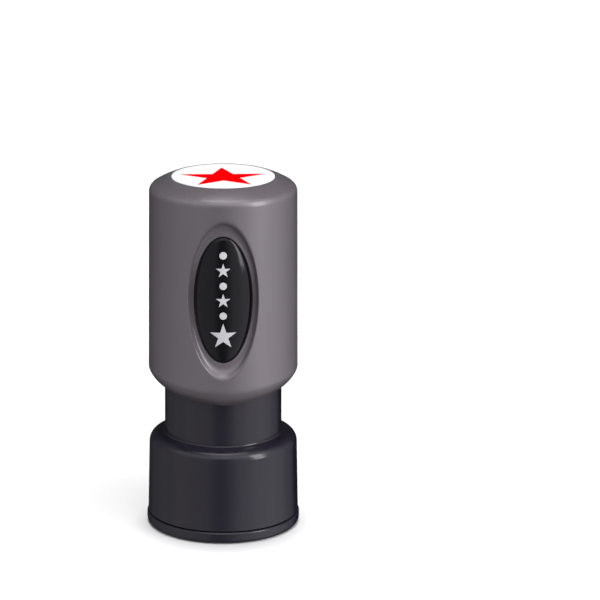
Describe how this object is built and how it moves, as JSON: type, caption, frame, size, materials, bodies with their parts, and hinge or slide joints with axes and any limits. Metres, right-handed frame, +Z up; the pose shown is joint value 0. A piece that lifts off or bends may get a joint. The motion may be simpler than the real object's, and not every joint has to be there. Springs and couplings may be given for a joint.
{
  "type": "pre-inked hand stamp",
  "caption": "Round pre-inked hand stamp with a press-down grey handle over a black neck and skirt, an oval badge, a star index label and a pull-off dust cap.",
  "frame": {"origin": "centre of the underside of the dust cap, which the stamp stands on", "axes": "+Z up along the stamp's axis, from the dust cap to the index label; the oval badge faces -Y"},
  "size_m": [0.0262, 0.0262, 0.0607],
  "materials": {
    "handle_grey": "satin moulded plastic",
    "skirt_black": "polished moulded plastic",
    "badge_black": "high gloss with a domed face",
    "holder_black": "satin moulded plastic",
    "stem_plastic": "satin moulded plastic",
    "bush_nylon": "natural nylon",
    "label_white": "white printed film with a red star",
    "die_red": "porous rubber soaked in red ink",
    "pad_felt": "felt soaked in red ink",
    "seal_rubber": "moulded rubber",
    "spring_steel": "drawn spring wire"
  },
  "bodies": {
    "base": {"skirt": "skirt_black", "stem_bush": "bush_nylon", "return_spring": "spring_steel"},
    "plunger": {"stem": "stem_plastic", "die_holder": "holder_black", "die_ring": "holder_black", "stamp_die": "die_red", "ink_pad": "pad_felt", "spring_washer": "spring_steel", "e_clip": "spring_steel", "stem_o_ring": "seal_rubber", "filler_plug": "seal_rubber"},
    "handle": {"handle_shell": "handle_grey", "badge_plate": "badge_black", "index_label": "label_white"},
    "cap": {"dust_cap": "skirt_black"}
  },
  "joints": [
    {"name": "handle_press", "type": "slide", "parent": "base", "child": "plunger", "axis": [0, 0, 1], "range_m": [-0.0056, 0], "stiffness_N_per_m": 500, "springref_m": 0.006, "deforming": ["return_spring"]},
    {"name": "handle_pull", "type": "slide", "parent": "plunger", "child": "handle", "axis": [0, 0, 1], "range_m": [0, 0.034]},
    {"name": "cap_pull", "type": "slide", "parent": "base", "child": "cap", "axis": [0, 0, -1], "range_m": [0, 0.012]}
  ]
}
